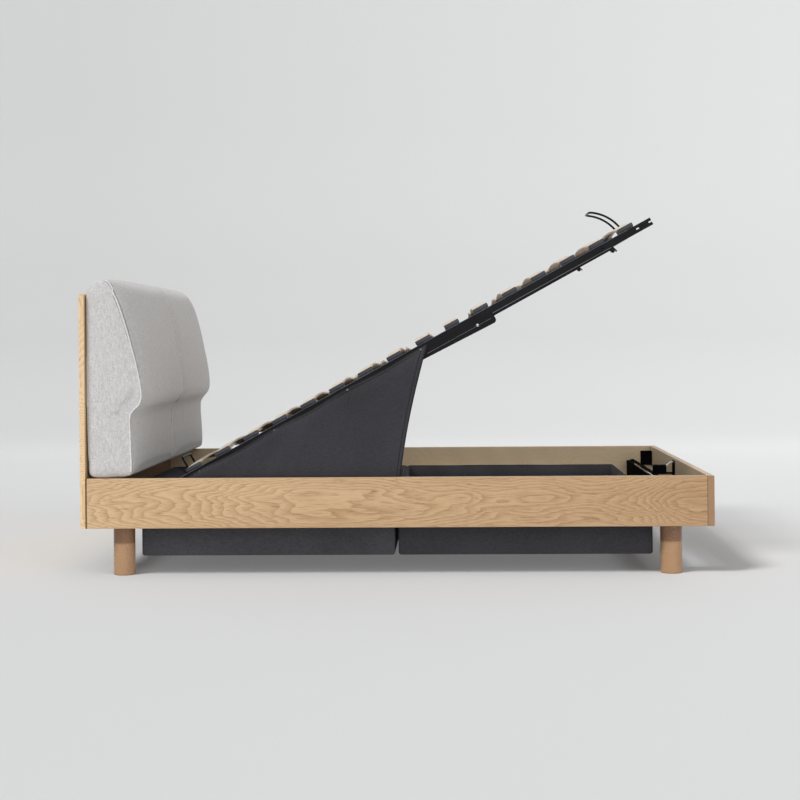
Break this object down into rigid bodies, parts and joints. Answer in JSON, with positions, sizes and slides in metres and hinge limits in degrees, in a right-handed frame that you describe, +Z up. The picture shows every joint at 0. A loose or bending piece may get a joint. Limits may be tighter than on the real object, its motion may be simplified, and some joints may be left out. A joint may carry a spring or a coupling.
{
  "type": "storage bed",
  "caption": "Double storage bed with an oak frame, an upholstered headboard, fabric bins and a slatted platform that gas struts lift at the foot end.",
  "frame": {"origin": "on the floor under the middle of the whole bed, with the platform raised", "axes": "+X towards the foot end, +Y towards the far side, +Z up"},
  "size_m": [2.222, 1.58, 1.3272],
  "materials": {
    "oak": "satin oiled oak with visible grain",
    "plywood": "matt lacquered plywood",
    "birch": "bent birch laths in black plastic holders",
    "black_steel": "black powder coat",
    "polished_rod": "ground and plated rod",
    "grey_fabric": "woven upholstery cloth",
    "black_fabric": "thin coated lining cloth",
    "strap_webbing": "woven webbing"
  },
  "bodies": {
    "frame": {"headboard_panel": "oak", "headboard_cushion_near": "grey_fabric", "headboard_cushion_far": "grey_fabric", "head_rail": "plywood", "side_rail_near": "oak", "side_rail_far": "oak", "foot_rail": "oak", "leg_head_near": "oak", "leg_head_far": "oak", "leg_foot_near": "oak", "leg_foot_far": "oak", "storage_bin_foot": "black_fabric", "storage_bin_head": "black_fabric", "centre_crossbar": "black_steel", "foot_crossbar": "black_steel", "corner_bracket_head_near": "black_steel", "corner_bracket_head_far": "black_steel", "corner_bracket_foot_near": "black_steel", "corner_bracket_foot_far": "black_steel", "foot_catch_bracket": "black_steel", "foot_catch_strap": "strap_webbing", "base_plate_near": "black_steel", "base_plate_far": "black_steel", "side_curtain": "black_fabric"},
    "platform": {"platform_side_near": "black_steel", "platform_side_far": "black_steel", "platform_head_crossbar": "black_steel", "platform_foot_crossbar": "black_steel", "centre_beam": "black_steel", "slat_01": "birch", "slat_02": "birch", "slat_03": "birch", "slat_04": "birch", "slat_05": "birch", "slat_06": "birch", "slat_07": "birch", "slat_08": "birch", "slat_09": "birch", "slat_10": "birch", "slat_11": "birch", "slat_12": "birch", "slat_13": "birch", "slat_14": "birch", "slat_15": "birch", "slat_16": "birch", "lift_plate_near": "black_steel", "lift_plate_far": "black_steel", "head_retainer_loop": "black_steel", "foot_retainer_loop": "black_steel"},
    "head_links": {"head_link_near": "black_steel", "head_link_far": "black_steel"},
    "lift_arms": {"lift_arm_near": "black_steel", "lift_arm_far": "black_steel"},
    "strut_cylinders": {"strut_cylinder_near": "black_steel", "strut_cylinder_far": "black_steel"},
    "strut_rods": {"strut_rod_near": "polished_rod", "strut_rod_far": "polished_rod"}
  },
  "joints": [
    {"name": "link_swing", "type": "hinge", "parent": "frame", "child": "head_links", "pos_m": [-0.407, 0, 0.1941], "axis": [0, -1, 0], "range_deg": [0, 25.59], "stiffness_Nm_per_rad": 536, "springref_deg": -59.59},
    {"name": "platform_lift", "type": "hinge", "parent": "head_links", "child": "platform", "pos_m": [-0.60797, 0, 0.3743], "axis": [0, 1, 0], "range_deg": [0, 54.11], "deforming": ["side_curtain"]},
    {"name": "arm_swing", "type": "hinge", "parent": "frame", "child": "lift_arms", "pos_m": [-0.14233, 0, 0.2149], "axis": [0, -1, 0], "range_deg": [0, 16.76]},
    {"name": "strut_tilt", "type": "hinge", "parent": "frame", "child": "strut_cylinders", "pos_m": [-0.7, 0, 0.192], "axis": [0, 1, 0], "range_deg": [0, 30.11]},
    {"name": "strut_slide", "type": "slide", "parent": "strut_cylinders", "child": "strut_rods", "axis": [-0.78, 0, -0.6258], "range_m": [0, 0.1386]}
  ],
  "couplings": [
    {"joint": "platform_lift", "follows": "link_swing", "ratio": 2.1135},
    {"joint": "arm_swing", "follows": "link_swing", "ratio": 0.6544},
    {"joint": "strut_tilt", "follows": "link_swing", "ratio": 1.1758},
    {"joint": "strut_slide", "follows": "link_swing", "m_per_rad": 0.31}
  ]
}
